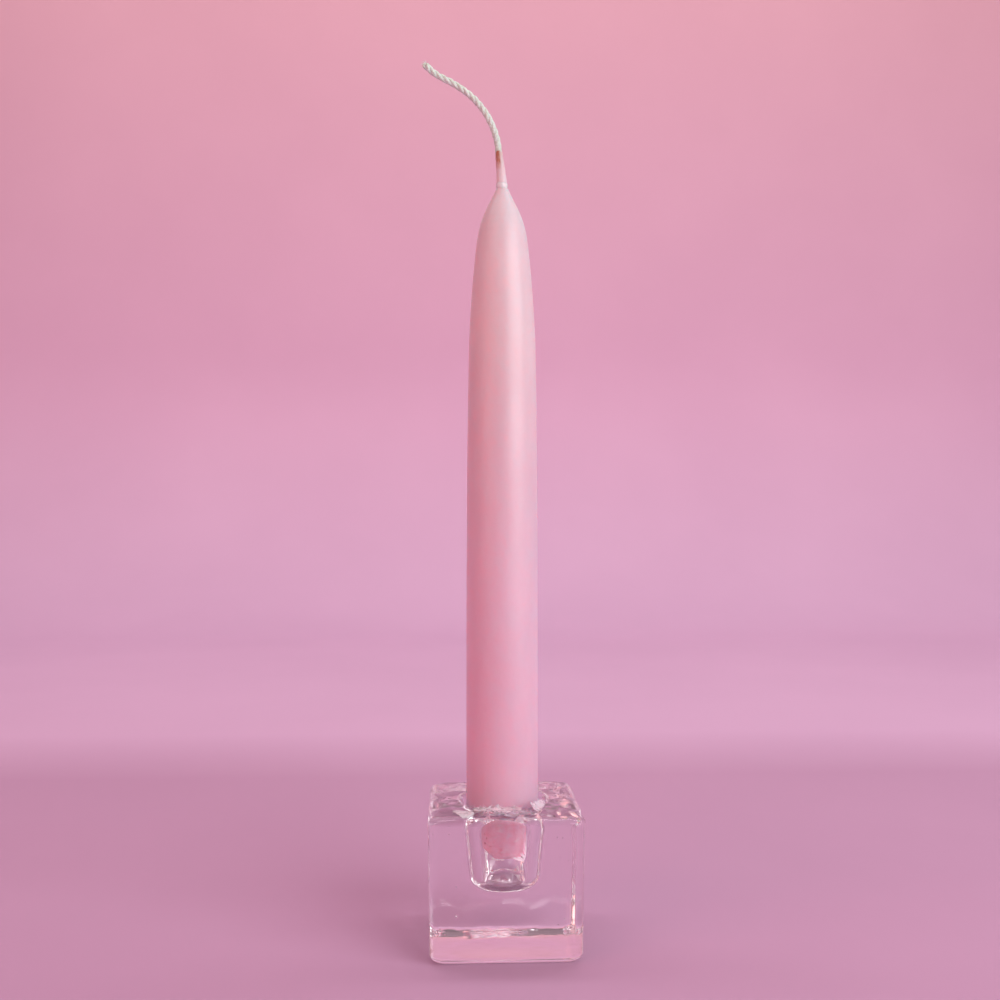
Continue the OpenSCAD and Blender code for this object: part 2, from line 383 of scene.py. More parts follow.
def add_fibres(path):
    """Loose cotton hairs that stand off the wick, and the brush of them at its cut end."""
    rng = random.Random(41)
    tangents, sides, ups = frames_along(path)
    verts, faces = [], []

    def hair(root, direction, length, thick, curl):
        points = []
        steps = 6
        direction = direction.normalized()
        for j in range(steps + 1):
            t = j / steps
            points.append(root + direction * length * t + curl * length * t * t)
        _, u, v = frames_along([tuple(p) for p in points])
        rings = []
        for j, point in enumerate(points):
            r = thick * (1 - 0.75 * j / steps)
            a = TAU * np.arange(5) / 5
            rings.append(np.array(point) + r * (np.cos(a)[:, None] * u[j] + np.sin(a)[:, None] * v[j]))
        more, quads = skin(rings, "cap", "cap", start=len(verts))
        verts.extend(more)
        faces.extend(quads)

    def random_vector():
        return Vector([rng.uniform(-1, 1) for _ in range(3)])

    for _ in range(STRAY_HAIRS):
        i = rng.randrange(int(0.1 * len(path)), len(path) - 2)
        angle = rng.uniform(0, TAU)
        out = Vector(math.cos(angle) * sides[i] + math.sin(angle) * ups[i])
        root = Vector(path[i]) + out * 0.85 * WICK_R
        along = Vector(tangents[i]) * rng.choice((-1, 1, 1))
        hair(
            root,
            out * rng.uniform(0.25, 0.9) + along,
            rng.uniform(0.5, 1.3) * MM,
            rng.uniform(0.012, 0.022) * MM,
            random_vector() * 0.35,
        )
    for _ in range(BRUSH_HAIRS):
        angle, off = rng.uniform(0, TAU), rng.uniform(0.1, 1.0) * WICK_R
        out = Vector(math.cos(angle) * sides[-1] + math.sin(angle) * ups[-1])
        root = Vector(path[-1]) + out * off - Vector(tangents[-1]) * 0.5 * MM
        hair(
            root,
            Vector(tangents[-1]) + out * rng.uniform(0.0, 0.7),
            rng.uniform(0.5, 1.0) * MM,
            rng.uniform(0.015, 0.03) * MM,
            random_vector() * 0.25,
        )
    return new_piece("wick_fibres", verts, faces, "candle")


wick, wick_path = add_wick_tail()
fibres = add_fibres(wick_path)


# ---------------------------------------------------------------- glass holder

SIDE_POINTS = 26
CORNER_POINTS = 14
BUBBLES = 9

# Sizes that the frame's box doesn't tell, the same as the CAD part's
BLOCK_DRAFT = 0.5 * MM
BLOCK_CORNER_R = 3.0 * MM
BASE_EDGE_R = 3.0 * MM
ROLL_W, ROLL_H = 4.2 * MM, 2.2 * MM
DISH_BORDER, DISH_DEPTH = 3.0 * MM, 0.6 * MM
MOUTH_R, FLOOR_R, SOCKET_DEPTH = 13.2 * MM, 10.2 * MM, 24.8 * MM
LIP_R, BOWL_R = 1.2 * MM, 4.5 * MM
BLOCK_HALF = (HOLDER_HIGH.x - HOLDER_LOW.x) / 2


def square_ring(half, corner, z):
    """A rounded square seen from above, anticlockwise from the +X side's lower end."""
    points = []
    reach = half - corner
    for quarter in range(4):
        turn = quarter * math.pi / 2
        for k in range(SIDE_POINTS):
            points.append((half, -reach + 2 * reach * k / SIDE_POINTS, turn))
        for k in range(CORNER_POINTS):
            a = 0.5 * math.pi * k / CORNER_POINTS
            points.append((reach + corner * math.cos(a), reach + corner * math.sin(a), turn))
    return np.array([
        (x * math.cos(t) - y * math.sin(t), x * math.sin(t) + y * math.cos(t), z) for x, y, t in points
    ])


def round_ring(radius, z):
    """A circle whose points lie in the same directions as a square ring's."""
    base = square_ring(1.0, 0.14, 0.0)
    angle = np.arctan2(base[:, 1], base[:, 0])
    return np.column_stack([radius * np.cos(angle), radius * np.sin(angle), np.full(len(base), z)])


def glass_rings():
    """Rings of the block's skin, from the dish under its base, up its sides and down the socket."""
    half, height, draft, corner, edge = BLOCK_HALF, TOP_Z, BLOCK_DRAFT, BLOCK_CORNER_R, BASE_EDGE_R
    roll_w, roll_h = ROLL_W, ROLL_H
    dish_r, dish_deep = half - edge - DISH_BORDER, DISH_DEPTH
    mouth_r, floor_r, deep = MOUTH_R, FLOOR_R, SOCKET_DEPTH
    lip, bowl = LIP_R, BOWL_R
    floor_z = height - deep
    slope = (mouth_r - floor_r) / deep

    def side_half(z):
        return half - draft * (1 - z / height)

    rings = []
    for t in np.linspace(0.04, 1, 12):
        rings.append(round_ring(dish_r * t, dish_deep * (1 - t * t)))
    flat_half = side_half(0) - edge
    for t in (0.35, 0.7):
        rings.append(round_ring(dish_r, 0) * (1 - t) + square_ring(flat_half, corner, 0) * t)
    for a in np.linspace(0, math.pi / 2, 12):
        z = edge * (1 - math.cos(a))
        rings.append(square_ring(side_half(z) - edge * (1 - math.sin(a)), corner, z))
    for z in np.linspace(edge, height - roll_h, 34)[1:]:
        rings.append(square_ring(side_half(z), corner, z))
    for a in np.linspace(0, math.pi / 2, 14)[1:]:
        z = height - roll_h + roll_h * math.sin(a)
        rings.append(square_ring(side_half(z) - roll_w * (1 - math.cos(a)), corner, z))
    flat = square_ring(side_half(height) - roll_w, corner, height)
    lip_ring = round_ring(mouth_r + lip - slope * lip, height)
    for t in np.linspace(0, 1, 11)[1:]:
        rings.append(flat * (1 - t) + lip_ring * t)
    for a in np.linspace(0, math.pi / 2, 9)[1:]:
        r = mouth_r - slope * lip + lip * (1 - math.sin(a))
        rings.append(round_ring(r, height - lip + lip * math.cos(a)))
    for z in np.linspace(height - lip, floor_z + bowl, 26)[1:]:
        rings.append(round_ring(floor_r + slope * (z - floor_z), z))
    wall_r = floor_r + slope * bowl
    for a in np.linspace(0, math.pi / 2, 11)[1:]:
        rings.append(round_ring(wall_r - bowl * (1 - math.cos(a)), floor_z + bowl * (1 - math.sin(a))))
    for t in np.linspace(1, 0.04, 9)[1:]:
        rings.append(round_ring((wall_r - bowl) * t, floor_z))
    return rings


def add_bubbles(verts, faces):
    """A few small air bubbles pressed into the glass, each a closed skin that faces inwards."""
    rng = random.Random(53)
    for _ in range(BUBBLES):
        side = rng.choice((-1, 1))
        x, y, z = side * rng.uniform(14, 20), rng.uniform(-19, 10), rng.uniform(6, 36)
        middle = Vector((x * MM, y * MM, z * MM))
        radius = rng.uniform(0.10, 0.22) * MM
        rings = []
        for a in np.linspace(1.3, -1.3, 8):
            ring = circle(radius * math.cos(a), 1.5 * radius * math.sin(a), 14)
            rings.append(ring + np.array(middle))
        more, quads = skin(rings, "cap", "cap", start=len(verts))
        verts.extend(more)
        faces.extend(quads)


def add_glass():
    """The block, with the slow waves of pressed glass and stronger ripples on its top.

    The ripples grow towards the front right corner and along the left edge."""
    verts, faces = skin(glass_rings(), "cap", "cap")
    add_bubbles(verts, faces)
    piece = new_piece("pressed_glass_block", verts, faces, "holder", ["glass_holder"])
    mesh = piece.data
    normals = [v.normal.copy() for v in mesh.vertices]
    for vertex, normal in zip(mesh.vertices, normals):
        p = vertex.co.copy()
        wave = 0.05 * grain(p, 14 * MM, 5) + 0.03 * grain(p, 6 * MM, 9)
        on_top = p.z > TOP_Z - 2 * MM and math.hypot(p.x, p.y) > MOUTH_R
        if on_top:
            sheared = min(max((p.x - p.y - 18 * MM) / (12 * MM), 0), 1)
            chipped = min(max((-p.x - 18 * MM) / (3 * MM), 0), 1)
            ripple = 0.11 + 0.34 * sheared + 0.16 * chipped
            wave += 0.24 * grain(p, 7 * MM, 12) + ripple * grain(p, 3.0 * MM, 15)
        if p.z < 0.05 * MM:
            wave = 0.0
        vertex.co = p + normal * wave * MM
    return piece


glass = add_glass()


# ---------------------------------------------------------------- candle

ROUND = 144
KNIFE_CUTS = 11


def candle_rings():
    """Rings of the candle's outside, taken from the CAD coat, with slow dips and swells."""
    levels, radii = outer_profile("wax_coat")
    heights = list(np.arange(COAT_FOOT_Z, NECK_Z - 20 * MM, 1.2 * MM))
    heights += list(np.arange(heights[-1] + 0.5 * MM, NECK_Z, 0.4 * MM)) + [NECK_Z]
    rings = []
    for z in heights:
        r = float(smooth_line(z, levels, radii))
        ring = circle(r, z, ROUND)
        for k, p in enumerate(ring):
            swell = 0.05 * grain((p[0], p[1], 0.35 * z), 16 * MM, 2)
            swell += 0.018 * grain((p[0], p[1], 0.6 * z), 5 * MM, 6)
            ring[k, :2] *= 1 + swell * MM / max(r, 2 * MM)
        rings.append(ring)
    return rings, heights


def add_coat():
    """The candle above the rim, solid down to the wick's bore so that light scatters in one body."""
    rings, heights = candle_rings()
    bore = [circle(WICK_R, z, ROUND) for z in heights[::-6]] + [circle(WICK_R, COAT_FOOT_Z, ROUND)]
    verts, faces = skin(at_candle(rings + bore), "loop")
    return new_piece("dipped_wax_coat", verts, faces, "candle", ["wax_coat"])


def add_foot():
    """The shaved end of the core: knife cuts round its side and a broken lower edge."""
    rng = random.Random(7)
    cuts = []
    for k in range(KNIFE_CUTS):
        angle = TAU * (k + rng.uniform(-0.3, 0.3)) / KNIFE_CUTS
        normal = Vector((math.cos(angle), math.sin(angle), rng.uniform(-0.03, 0.02)))
        cuts.append((normal, rng.uniform(10.55, 10.75)))
    cuts.append((Vector((-0.62, -0.42, -0.66)).normalized(), 9.9))
    cuts.append((Vector((0.62, -0.42, -0.66)).normalized(), 11.4))
    edge = 1.2 * MM
    rings = []
    for t in np.linspace(0.12, 1, 14):
        rings.append(circle(WICK_R + (FOOT_R - edge - WICK_R) * t, FOOT_Z, ROUND))
    for a in np.linspace(0, math.pi / 2, 12)[1:]:
        rings.append(circle(FOOT_R - edge + edge * math.sin(a), FOOT_Z + edge * (1 - math.cos(a)), ROUND))
    for z in np.arange(FOOT_Z + edge, COAT_FOOT_Z, 0.35 * MM)[1:]:
        rings.append(circle(FOOT_R, z, ROUND))
    rings.append(circle(FOOT_R, COAT_FOOT_Z, ROUND))
    middle = Vector((0, 0, FOOT_Z + 6 * MM))
    for ring in rings:
        for k in range(ROUND):
            p = Vector(ring[k])
            fade = min(max((COAT_FOOT_Z - p.z) / (2.5 * MM), 0), 1)
            for normal, distance in cuts:
                over = (p - middle).dot(normal) - distance * MM
                if over > 0:
                    p -= normal * over * fade
            reach = min(math.hypot(p.x, p.y) / FOOT_R, 1)
            rough = 0.10 * grain(p, 2.2 * MM, 31) + 0.06 * grain(p, 0.9 * MM, 33)
            outward = Vector((p.x, p.y, 0)).normalized() if reach > 0.5 else Vector((0, 0, -1))
            p += outward * (rough - 0.06) * MM * fade
            ring[k] = p
    bore = [circle(WICK_R, z, ROUND) for z in (COAT_FOOT_Z, FOOT_Z + 4 * MM, FOOT_Z + 0.2 * MM)]
    verts, faces = skin(at_candle(rings + bore), "loop")
    return new_piece("shaved_wax_foot", verts, faces, "candle", ["wax_core"])


coat = add_coat()
foot = add_foot()


# ---------------------------------------------------------------- sleeve and bead at the wick's root

ROOT_SIDES = 72
ROOT_STEPS = 90


def root_path():
    """Centre line of the wick inside the sleeve, from the neck to where the free wick starts."""
    end = wick_route()[0]
    start = Vector((AXIS_X, 0, NECK_Z))
    bend = Vector((AXIS_X - 0.3 * MM, 0, NECK_Z + 5.5 * MM))
    t = np.linspace(0, 1, ROOT_STEPS)[:, None]
    return np.array(start) * (1 - t) ** 2 + 2 * np.array(bend) * t * (1 - t) + np.array(end) * t * t


def add_sleeve():
    """Wax drawn up the wick's root, with the plies showing through it near its ragged top."""
    path = root_path()
    s = lengths_along(path)
    _, u, v = frames_along(path)
    total = s[-1]
    first = int(0.14 * len(path))
    outer, inner = [], []
    for i in range(first, len(path)):
        t = (s[i] - s[first]) / (total - s[first])
        a = TAU * np.arange(ROOT_SIDES) / ROOT_SIDES
        smooth_r = 1.62 * (1 - t) ** 1.1 + 1.07 * (1 - (1 - t) ** 1.1)
        lobes = np.cos(PLIES * (a - TAU * (s[i] - total) / PLY_PITCH) - PLIES * 0.6)
        r = smooth_r + 0.05 * t * lobes
        p = path[i]
        around = np.cos(a)[:, None] * u[i] + np.sin(a)[:, None] * v[i]
        ripple = np.array([grain(p + q * r[k] * MM, 1.1 * MM, 44) for k, q in enumerate(around)])
        r = r + 0.05 * ripple
        outer.append(p + (r * MM)[:, None] * around)
        inner.append(p + WICK_R * 0.9 * around)
    verts, faces = skin(outer + inner[::-1], "loop")
    return new_piece("waxed_sleeve", verts, faces, "candle", ["wick_sleeve"])


def add_bead():
    """Uneven ring of pale wax where the wick leaves the candle."""
    path = root_path()
    rings = []
    height = BEAD_HIGH.z - BEAD_LOW.z
    widest = (BEAD_HIGH.y - BEAD_LOW.y) / 2
    for t in np.linspace(0, 1, 16):
        z = BEAD_LOW.z + height * t
        shift = np.interp(z, path[:, 2], path[:, 0])
        bulge = math.sin(math.pi * min(max(0.12 + 0.76 * t, 0), 1))
        r = widest - 0.42 * MM * (1 - bulge)
        ring = circle(r, z, ROOT_SIDES)
        for k in range(ROOT_SIDES):
            lump = 0.07 * grain(ring[k], 1.2 * MM, 51)
            ring[k, :2] *= 1 + lump
            ring[k, 2] += 0.12 * MM * grain((ring[k, 0], ring[k, 1], 0), 1.5 * MM, 53) * (0.3 + t)
        ring[:, 0] += shift
        rings.append(ring)
    inner = []
    for t in (1.0, 0.0):
        z = BEAD_LOW.z + height * t
        shift = np.interp(z, path[:, 2], path[:, 0])
        inner.append(circle(WICK_R, z, ROOT_SIDES) + (shift, 0, 0))
    verts, faces = skin(rings + inner, "loop")
    return new_piece("neck_wax_bead", verts, faces, "candle", ["neck_bead"])


sleeve = add_sleeve()
bead = add_bead()


# ---------------------------------------------------------------- wax scraps

def sheet_flake(name, body, node, place, axes, outline, thick, seed, bend):
    """A thin curved flake with an outline, lifted by bend(x, y) and given a thickness."""
    u, v, w = (Vector(a).normalized() for a in axes)
    verts, faces = [], []
    flake_part(verts, faces, Vector(place), u, v, w, outline, thick, seed, bend)
    return new_piece(name, verts, faces, body, [node])


def flake_part(verts, faces, place, u, v, w, outline, thick, seed, bend):
    """Add one flake to verts and faces: outline in millimetres along u and v, ragged and thin at its edge."""
    rows, cols = 9, 40
    outline = np.asarray(outline, float)
    ahead = np.roll(outline, -1, axis=0)
    if (outline[:, 0] * ahead[:, 1] - ahead[:, 0] * outline[:, 1]).sum() < 0:
        outline = outline[::-1]
    centre = outline.mean(axis=0)
    loop = lengths_along(np.vstack([outline, outline[:1]]))
    at = np.linspace(0, loop[-1], cols, endpoint=False)
    closed = np.vstack([outline, outline[:1]])
    edge = np.column_stack([np.interp(at, loop, closed[:, 0]), np.interp(at, loop, closed[:, 1])])
    for k, point in enumerate(edge):
        spot = (point[0], point[1], seed)
        ragged = 0.12 * grain(spot, 0.6, seed) + 0.1 * grain(spot, 0.25, seed)
        edge[k] = point + (point - centre) * ragged
    top, under = [], []
    for row in np.linspace(0.06, 1, rows):
        ring = centre + (edge - centre) * row
        lift = np.array([bend(x, y) + 0.12 * grain((x, y, seed), 1.1, seed) for x, y in ring])
        half = 0.5 * thick * (1 - 0.75 * row**6)
        for side, store in ((1, top), (-1, under)):
            store.append(np.array([
                place + (u * x + v * y + w * (h + side * half)) * MM for (x, y), h in zip(ring, lift)
            ]))
    more, quads = skin(under + top[::-1], "cap", "cap", start=len(verts))
    verts.extend(more)
    faces.extend(quads)


def top_drop(y):
    """How far the block's rolled edge has fallen below its top, at a distance y from the middle."""
    over = min(max(abs(y) * MM - (BLOCK_HALF - ROLL_W), 0) / ROLL_W, 0.99)
    return ROLL_H / MM * (1 - math.sqrt(1 - over * over))


def add_film():
    """Smear of wax on the top that droops over the front edge."""
    outline = [
        (-3.2, 2.2), (-1.2, 2.9), (1.6, 1.8), (2.9, 0.2), (3.0, -2.0),
        (1.6, -4.0), (-0.4, -4.2), (-1.8, -1.6), (-3.0, 0.6),
    ]
    return sheet_flake(
        "wax_film", "holder", "rim_film_left", (-12.4 * MM, -17 * MM, TOP_Z + 0.25 * MM),
        ((1, 0, 0), (0, 1, 0), (0, 0, 1)), outline, 0.3, 2.0, lambda x, y: -top_drop(y - 17) + 0.05 * abs(x),
    )


def add_right_flake():
    """Long flake that lies along the lip, its inner edge raised and torn."""
    outline = [
        (-5.8, -0.9), (-3.6, -1.5), (-1.0, -1.2), (2.2, -1.0), (4.4, -0.7), (6.2, 0.3),
        (4.6, 0.9), (3.0, 1.0), (1.8, 1.5), (0.2, 1.2), (-1.6, 2.0), (-2.8, 1.6), (-4.8, 2.2),
    ]
    turn, tilt = math.radians(68), math.radians(34)
    along = Vector((math.cos(turn), math.sin(turn), 0))
    inward = Vector((-math.sin(turn) * math.cos(tilt), math.cos(turn) * math.cos(tilt), math.sin(tilt)))
    return sheet_flake(
        "leaning_flake", "holder", "rim_flake_right", (10.2 * MM, -11.8 * MM, TOP_Z + 0.85 * MM),
        (along, inward, along.cross(inward)), outline, 0.22, 5.0,
        lambda x, y: 0.2 * math.sin(0.9 * x) + 0.2 * y * y,
    )


def add_lump():
    """A rounded blob of clear wax, flat where it sits on the glass."""
    low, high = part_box("rim_lump_left")
    centre, size = (low + high) / 2, (high - low) / 2
    rings = []
    for a in np.linspace(-1.35, 1.45, 20):
        ring = circle(1.0, 0.0, 48)
        for k in range(len(ring)):
            p = Vector((ring[k, 0] * math.cos(a), ring[k, 1] * math.cos(a), math.sin(a)))
            p *= 1 + 0.12 * grain(p, 0.8, 61)
            q = Vector((centre.x + p.x * size.x, centre.y + p.y * size.y, centre.z + p.z * size.z))
            q.z = max(q.z, TOP_Z + 0.05 * MM)
            ring[k] = q
        rings.append(ring)
    verts, faces = skin(rings, "cap", "cap")
    return new_piece("clear_wax_lump", verts, faces, "holder", ["rim_lump_left"])


# Upright shreds: start and sweep in degrees, foot below the block's top and height in millimetres
CURLS = ((241, 13, -0.9, 1.9), (253, 14, -0.8, 2.1), (266, 13, -0.9, 1.6), (277, 14, -0.9, 1.9))
WISPS = 40


def add_curls():
    """Thin torn shavings in the gap before the candle: short upright shreds and loose wisps."""
    rng = random.Random(19)
    verts, faces = [], []
    columns, height_steps = 44, 10
    for start_deg, sweep_deg, low, tall in CURLS:
        front, back = [], []
        phase = rng.uniform(0, 10)
        for j in range(height_steps + 1):
            t = j / height_steps
            inner_row, outer_row = [], []
            for k in range(columns + 1):
                q = k / columns
                torn = 0.35 + 0.45 * math.sin(math.pi * q) ** 0.7
                torn += 0.45 * noise.noise(Vector((7 * q, phase, 0)))
                torn += 0.2 * noise.noise(Vector((19 * q, phase, 4)))
                z = low + tall * max(torn, 0.12) * t
                curl = 1.1 * t * t * (0.35 + noise.noise(Vector((3 * q, phase, 2))))
                r = CANDLE_R / MM + 0.9 + curl + 0.12 * noise.noise(Vector((9 * q, 3 * t, phase)))
                drift = 0.25 * t * noise.noise(Vector((2 * q, 5, phase)))
                angle = math.radians(start_deg + sweep_deg * (q + drift))
                for store, reach in ((inner_row, r), (outer_row, r + 0.12 * (1 - 0.6 * t))):
                    x, y = reach * math.cos(angle), reach * math.sin(angle)
                    store.append((AXIS_X + x * MM, y * MM, TOP_Z + z * MM))
            front.append(outer_row)
            back.append(inner_row)
        rings = [np.array(outer_row + inner_row[::-1]) for outer_row, inner_row in zip(front, back)]
        more, quads = skin(rings, "cap", "cap", start=len(verts))
        verts.extend(more)
        faces.extend(quads)
    for _ in range(WISPS):
        at = math.radians(rng.uniform(240, 296))
        run = math.radians(rng.uniform(3, 12)) * rng.choice((-1, 1))
        reach, height, rise = rng.uniform(12.0, 17.0), rng.uniform(0.0, 0.3), rng.uniform(0.1, 1.1)
        path = []
        for t in np.linspace(0, 1, 12):
            r = reach + 0.8 * math.sin(3 * t + 9 * at)
            z = height + rise * t * t + 0.15
            x, y = r * math.cos(at + run * t), r * math.sin(at + run * t)
            path.append((AXIS_X + x * MM, y * MM, TOP_Z + z * MM))
        _, u, v = frames_along(path)
        a = TAU * np.arange(8) / 8
        rings = []
        for k, point in enumerate(path):
            thick = (0.10 - 0.007 * k) * MM
            rings.append(point + thick * (1.8 * np.cos(a)[:, None] * u[k] + np.sin(a)[:, None] * v[k]))
        more, quads = skin(rings, "cap", "cap", start=len(verts))
        verts.extend(more)
        faces.extend(quads)
    return new_piece("rim_curls", verts, faces, "holder", ["rim_curls_front"])


# Smears on the glass before the curls: X, Y, half length and half width in millimetres, and a seed
SMEARS = ((-3.4, -17.4, 2.9, 2.4, 91.0), (1.4, -18.3, 3.4, 2.6, 93.0), (6.0, -17.2, 2.6, 2.0, 95.0))


def add_smear():
    """Thin ragged smears of wax on the top's front edge, between the curls and the front face."""
    verts, faces = [], []
    for x, y, long, wide, seed in SMEARS:
        outline = [
            (-long, 0.1 * wide), (-0.6 * long, 0.9 * wide), (-0.1 * long, 0.5 * wide), (0.5 * long, wide),
            (long, 0.2 * wide), (0.7 * long, -0.7 * wide), (0.1 * long, -wide), (-0.5 * long, -0.8 * wide),
        ]
        flake_part(
            verts, faces, Vector((x * MM, y * MM, TOP_Z + 0.3 * MM)), Vector((1, 0, 0)), Vector((0, 1, 0)),
            Vector((0, 0, 1)), outline, 0.1, seed, lambda px, py, at=y: -top_drop(py + at),
        )
    return new_piece("front_wax_smear", verts, faces, "holder")


SLIVERS = 13
CRUMBS = 9


def add_shaving():
    """White slivers that fan out over the foot's right side from one tip below its edge.

    Each is bowed outwards so that it follows the foot's round side."""
    rng = random.Random(23)
    verts, faces = [], []

    def on_foot(degrees, rise, reach):
        a = math.radians(degrees)
        return Vector((AXIS_X + reach * math.cos(a) * MM, reach * math.sin(a) * MM, FOOT_Z + rise * MM))

    for k in range(SLIVERS):
        q = k / (SLIVERS - 1)
        start = on_foot(-45 - 7 * (1 - q), -1.2 + 0.8 * q, 10.7)
        end = on_foot(-80 + 40 * q + rng.uniform(-3, 3), 0.5 + 6.6 * q * q + rng.uniform(-0.3, 0.6), 10.9)
        run = end - start
        length = run.length / MM
        run.normalize()
        middle = (start + end) / 2
        face = Vector((middle.x - AXIS_X, middle.y, 0))
        bow = 10.9 - face.length / MM + 0.2
        face.normalize()
        across = face.cross(run).normalized()
        width = rng.uniform(0.22, 0.48)
        outline = [
            (0, -0.12), (0.35 * length, -0.5 * width), (0.8 * length, -0.42 * width), (length, 0),
            (0.72 * length, 0.5 * width), (0.3 * length, 0.45 * width), (0, 0.12),
        ]
        flake_part(
            verts, faces, start, run, across, face, outline, 0.12, 70.0 + k,
            lambda x, y, whole=length, high=bow: high * math.sin(math.pi * min(max(x / whole, 0), 1)),
        )
    return new_piece("foot_slivers", verts, faces, "candle", ["foot_shaving"])


def add_crumbs():
    """Small uneven crumbs that hang from the foot's lower edge, front left."""
    rng = random.Random(29)
    verts, faces = [], []
    for k in range(CRUMBS):
        angle = math.radians(243 + 3.2 * k)
        reach = rng.uniform(8.6, 9.5)
        z = FOOT_Z / MM - 0.35 - rng.uniform(0, 0.2)
        middle = Vector((reach * math.cos(angle), reach * math.sin(angle), z))
        radius = rng.uniform(0.2, 0.38)
        rings = []
        for a in np.linspace(-1.3, 1.3, 8):
            ring = circle(1.0, 0.0, 14)
            for j in range(len(ring)):
                p = Vector((ring[j, 0] * math.cos(a), ring[j, 1] * math.cos(a), math.sin(a)))
                p *= 1 + 0.35 * grain(p, 0.7, 80 + k)
                ring[j] = (middle + p * radius) * MM
            rings.append(ring)
        more, quads = skin(at_candle(rings), "cap", "cap", start=len(verts))
        verts.extend(more)
        faces.extend(quads)
    return new_piece("foot_crumb_group", verts, faces, "candle", ["foot_crumbs"])


scraps = [add_film(), add_right_flake(), add_lump(), add_curls(), add_shaving(), add_crumbs(), add_smear()]


# ---------------------------------------------------------------- materials

def coat_material():
    """Translucent dipped wax: deeper rose near the foot, paler towards the neck."""
    shader = Shader("pink wax coat")
    height = shader.span(shader.axis("Z"), 0.04, 0.23)
    base = shader.ramp(height, [
        (0.0, (0.77, 0.52, 0.64)), (0.35, (0.75, 0.56, 0.66)),
        (0.75, (0.75, 0.62, 0.65)), (1.0, (0.76, 0.71, 0.73)),
    ])
    cloud = shader.noise(90, 4, 0.6, stretch=(1, 1, 0.35))
    tone = shader.mix(shader.span(cloud, 0.3, 0.7, 0.0, 1.0), (0.96, 0.94, 0.95), (1.03, 1.03, 1.02))
    shader.link(shader.mix(1.0, base, tone, "MULTIPLY"), shader.bsdf.inputs["Base Color"])
    shader.set(Subsurface_Weight=1.0, Subsurface_Radius=(1.0, 0.16, 0.16), IOR=1.46)
    depth = shader.span(shader.axis("Z"), NECK_Z - 26 * MM, NECK_Z - 2 * MM, 0.012, 0.0012)
    above_foot = shader.span(shader.axis("Z"), COAT_FOOT_Z, COAT_FOOT_Z + 16 * MM, 0.25, 1.0)
    shader.link(shader.math("MULTIPLY", depth, above_foot), shader.bsdf.inputs["Subsurface Scale"])
    shader.set(Specular_IOR_Level=0.8)
    rough = shader.span(shader.noise(260, 3, 0.6), 0.3, 0.7, 0.34, 0.44)
    shader.link(rough, shader.bsdf.inputs["Roughness"])
    fine = shader.math("ADD", shader.noise(420, 4, 0.55), shader.noise(60, 2, 0.5, stretch=(1, 1, 0.4)))
    shader.bump(fine, 0.10, 0.0004)
    return shader.material


def foot_material():
    """Mottled shaved wax, with a faint painted glow that brightens it in the shade of the glass socket."""
    shader = Shader("shaved pink wax")
    blotch = shader.noise(420, 5, 0.62)
    streaks = shader.noise(700, 4, 0.6, stretch=(0.5, 0.5, 1.4))
    colour = shader.ramp(blotch, [
        (0.24, (0.86, 0.20, 0.30)), (0.38, (0.97, 0.46, 0.60)),
        (0.60, (0.99, 0.58, 0.72)), (0.80, (0.99, 0.74, 0.84)),
    ])
    pale = shader.span(streaks, 0.55, 0.75)
    # Dark red specks, only towards the foot's left side
    left = shader.span(shader.axis("X"), AXIS_X - 2 * MM, AXIS_X - 7 * MM)
    dark_left_specks = shader.math("MULTIPLY", shader.span(shader.noise(800, 1, 0.5), 0.62, 0.70), left)
    colour = shader.mix(pale, colour, (1.0, 0.70, 0.78))
    shader.link(shader.mix(dark_left_specks, colour, (0.50, 0.05, 0.09)), shader.bsdf.inputs["Base Color"])
    shader.set(Subsurface_Weight=0.6, Subsurface_Radius=(1.0, 0.4, 0.35), Subsurface_Scale=0.002, IOR=1.44)
    # Painted glow: emission that lifts the foot out of the shade of the glass socket
    shader.set(Emission_Color=(1.0, 0.45, 0.56, 1.0), Emission_Strength=0.09)
    shader.link(shader.span(blotch, 0.3, 0.7, 0.42, 0.68), shader.bsdf.inputs["Roughness"])
    shader.bump(shader.math("ADD", blotch, streaks), 0.5, 0.0004)
    return shader.material


def pale_wax_material(name, low, high, clear, painted_glow=0.0):
    """Thin wax from colour low to colour high: clear is how much light passes straight through,
    painted_glow is a painted glow, emission that brightens the thin wax where it sits in shade."""
    shader = Shader(name)
    cloud = shader.noise(420, 3, 0.5)
    shader.link(shader.ramp(cloud, [(0.3, low), (0.7, high)]), shader.bsdf.inputs["Base Color"])
    # The emission here is a painted glow, not a lamp
    shader.set(
        Subsurface_Weight=0.5, Subsurface_Radius=(1.0, 0.7, 0.7), Subsurface_Scale=0.0012, IOR=1.44,
        Transmission_Weight=clear, Emission_Color=(1.0, 0.72, 0.82, 1.0), Emission_Strength=painted_glow,
    )
    shader.link(shader.span(cloud, 0.3, 0.7, 0.15, 0.42), shader.bsdf.inputs["Roughness"])
    shader.bump(shader.noise(900, 2, 0.5), 0.12, 0.0002)
    return shader.material


